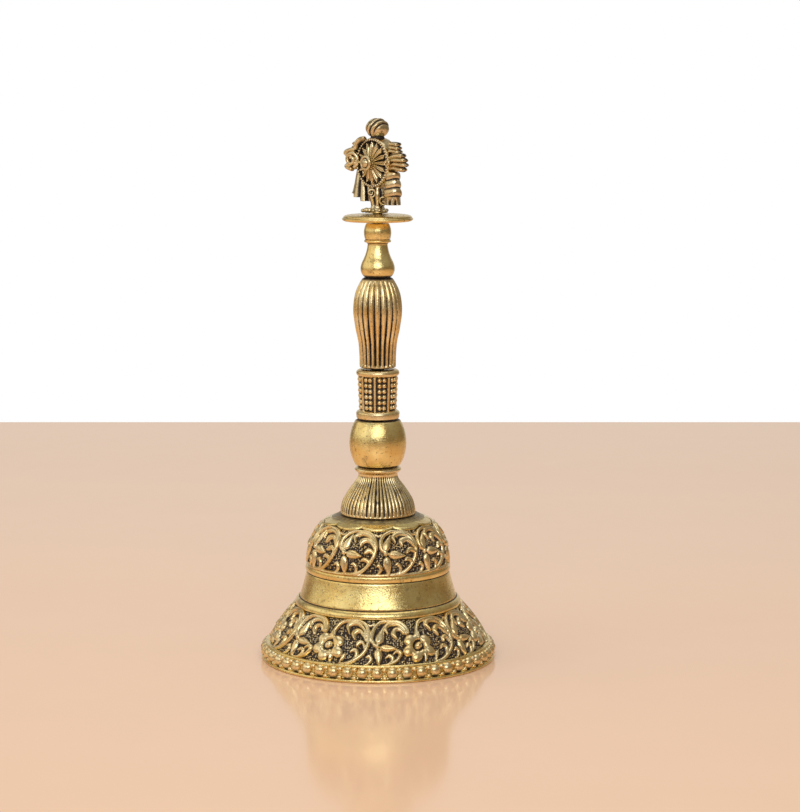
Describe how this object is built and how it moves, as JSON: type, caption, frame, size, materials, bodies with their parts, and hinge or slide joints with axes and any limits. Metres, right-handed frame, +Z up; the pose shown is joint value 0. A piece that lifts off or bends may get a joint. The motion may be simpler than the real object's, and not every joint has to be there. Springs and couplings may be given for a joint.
{
  "type": "hand bell",
  "caption": "Brass puja hand bell: flared relief bowl with hanging clapper, turned and fluted handle stacked on a tie rod, and a wheel finial on a round plate.",
  "frame": {"origin": "centre of the circle that the rim stands on", "axes": "+Z up the handle, along the bell's axis; -Y is the front, which the finial's wheel looks past to the left"},
  "size_m": [0.0782, 0.0782, 0.178],
  "materials": {
    "aged_brass": "cast brass, worn bright on the high points, near-black patina in the recesses",
    "polished_brass": "turned and hand polished brass with fine pitting and brown mottling",
    "plain_brass": "plain machined brass, dulled",
    "dark_steel": "oiled dark steel wire and rod"
  },
  "bodies": {
    "bell": {"bell_bowl": "aged_brass", "handle_foot": "aged_brass", "handle_ball": "polished_brass", "beaded_drum": "aged_brass", "fluted_grip": "aged_brass", "handle_neck": "polished_brass", "finial_plate": "polished_brass", "chakra_finial": "aged_brass", "tie_rod": "dark_steel", "finial_stud": "dark_steel", "crown_washer": "plain_brass", "hanger_nut": "plain_brass"},
    "swivel": {"swivel_eye": "dark_steel"},
    "clapper": {"clapper_rod": "dark_steel", "clapper_ball": "plain_brass"}
  },
  "joints": [
    {"name": "eye_swivel", "type": "hinge", "parent": "bell", "child": "swivel", "pos_m": [0, 0, 0.0317], "axis": [0, 0, 1], "continuous": true},
    {"name": "clapper_swing", "type": "hinge", "parent": "swivel", "child": "clapper", "pos_m": [0, 0, 0.0317], "axis": [1, 0, 0], "range_deg": [-49, 49]}
  ]
}
